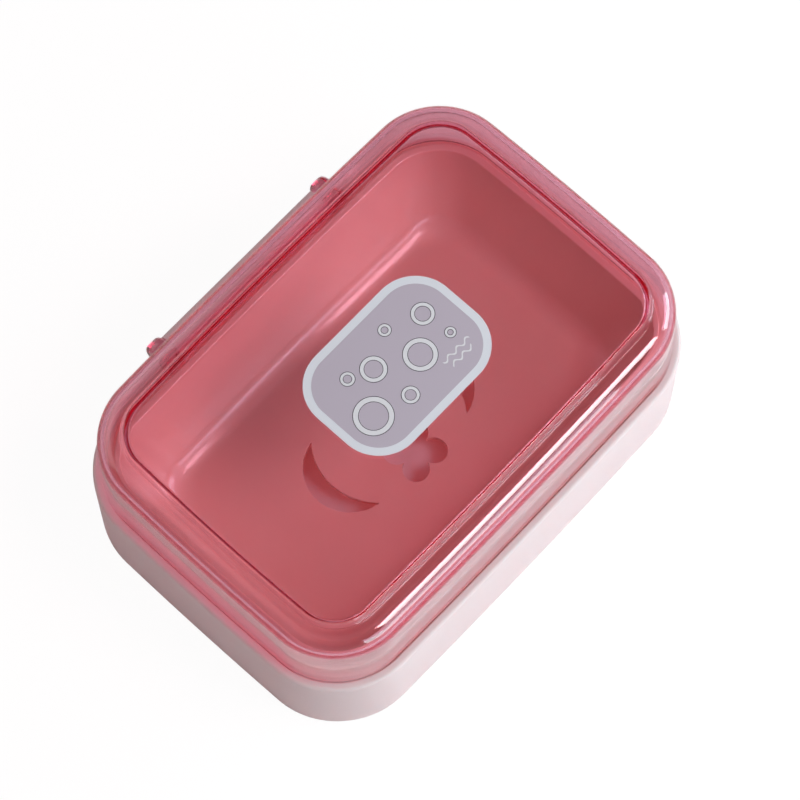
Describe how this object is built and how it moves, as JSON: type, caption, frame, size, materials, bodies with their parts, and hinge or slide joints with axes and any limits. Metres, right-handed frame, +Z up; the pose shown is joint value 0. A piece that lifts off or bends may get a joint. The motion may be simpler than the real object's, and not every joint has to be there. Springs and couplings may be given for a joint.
{
  "type": "soap box",
  "caption": "Rectangular soap box with rounded corners: a tub, a drain tray pierced with drain holes, and a clear lid on a snap hinge along one long side.",
  "frame": {"origin": "on the surface that the foot ring stands on, in the middle of the whole outline with its hinge", "axes": "+X along the long sides, +Y towards the hinge, +Z up towards the lid"},
  "size_m": [0.1358, 0.0996, 0.0547],
  "materials": {
    "base_plastic": "moulded, satin gloss, pale pink",
    "tray_plastic": "moulded, satin gloss, light pink",
    "lid_plastic": "moulded, clear rose, polished"
  },
  "bodies": {
    "base": {"base_box": "base_plastic", "drain_tray": "tray_plastic"},
    "lid": {"clear_lid": "lid_plastic"}
  },
  "joints": [
    {"name": "lid_hinge", "type": "hinge", "parent": "base", "child": "lid", "pos_m": [0, 0.0464, 0.0328], "axis": [-1, 0, 0], "range_deg": [0, 115]}
  ]
}
